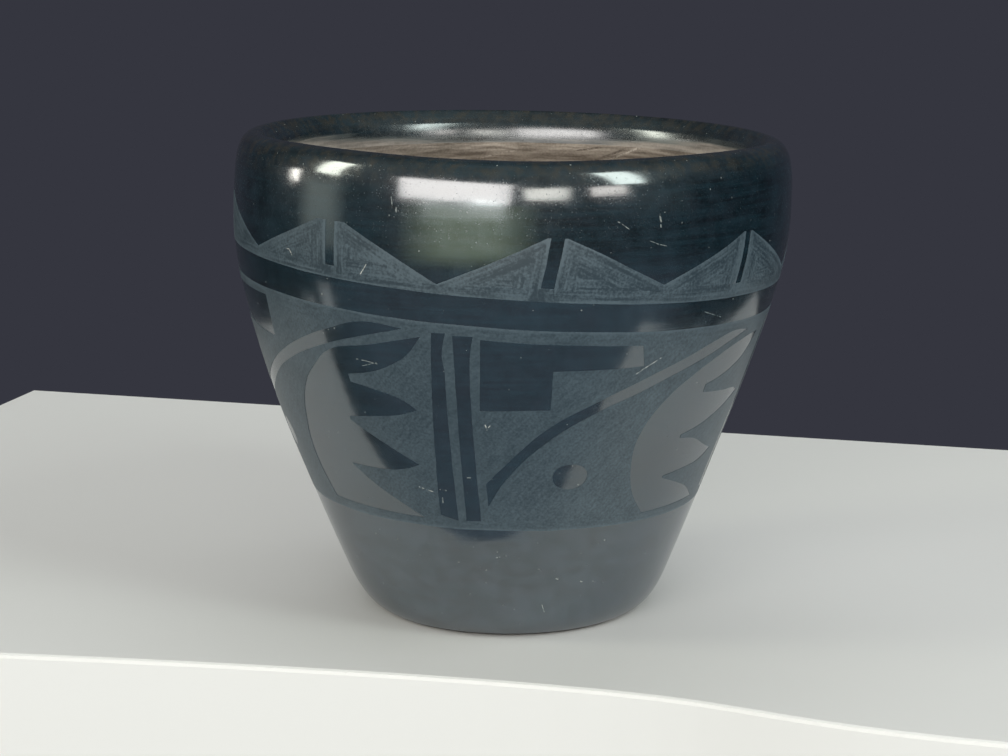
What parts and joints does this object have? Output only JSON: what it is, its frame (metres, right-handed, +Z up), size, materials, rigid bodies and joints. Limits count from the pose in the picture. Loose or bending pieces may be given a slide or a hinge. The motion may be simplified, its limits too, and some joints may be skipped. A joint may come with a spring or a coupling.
{
  "type": "coil-built blackware jar",
  "caption": "Open black pottery jar with a flat foot, flaring wall, round shoulder and rolled lip, burnished and painted with a matte frieze.",
  "frame": {"origin": "centre of the flat foot, on the surface that the jar stands on", "axes": "+Z up along the jar's axis, -Y towards the front of the painting, +X to its right"},
  "size_m": [0.1978, 0.1978, 0.17],
  "materials": {
    "bare_clay": "bare fired clay, scraped, dull",
    "burnished_slip": "stone-burnished black slip, dark mirror",
    "matte_slip": "brushed matte slip, charcoal"
  },
  "bodies": {
    "root": {"base_slab": "bare_clay", "wall_coil_1": "bare_clay", "wall_coil_2": "bare_clay", "wall_coil_3": "bare_clay", "wall_coil_4": "bare_clay", "wall_coil_5": "bare_clay", "wall_coil_6": "bare_clay", "rim_coil": "bare_clay", "burnished_slip_coat": "burnished_slip", "matte_slip_mountains": "matte_slip", "matte_slip_panels": "matte_slip"}
  },
  "joints": []
}
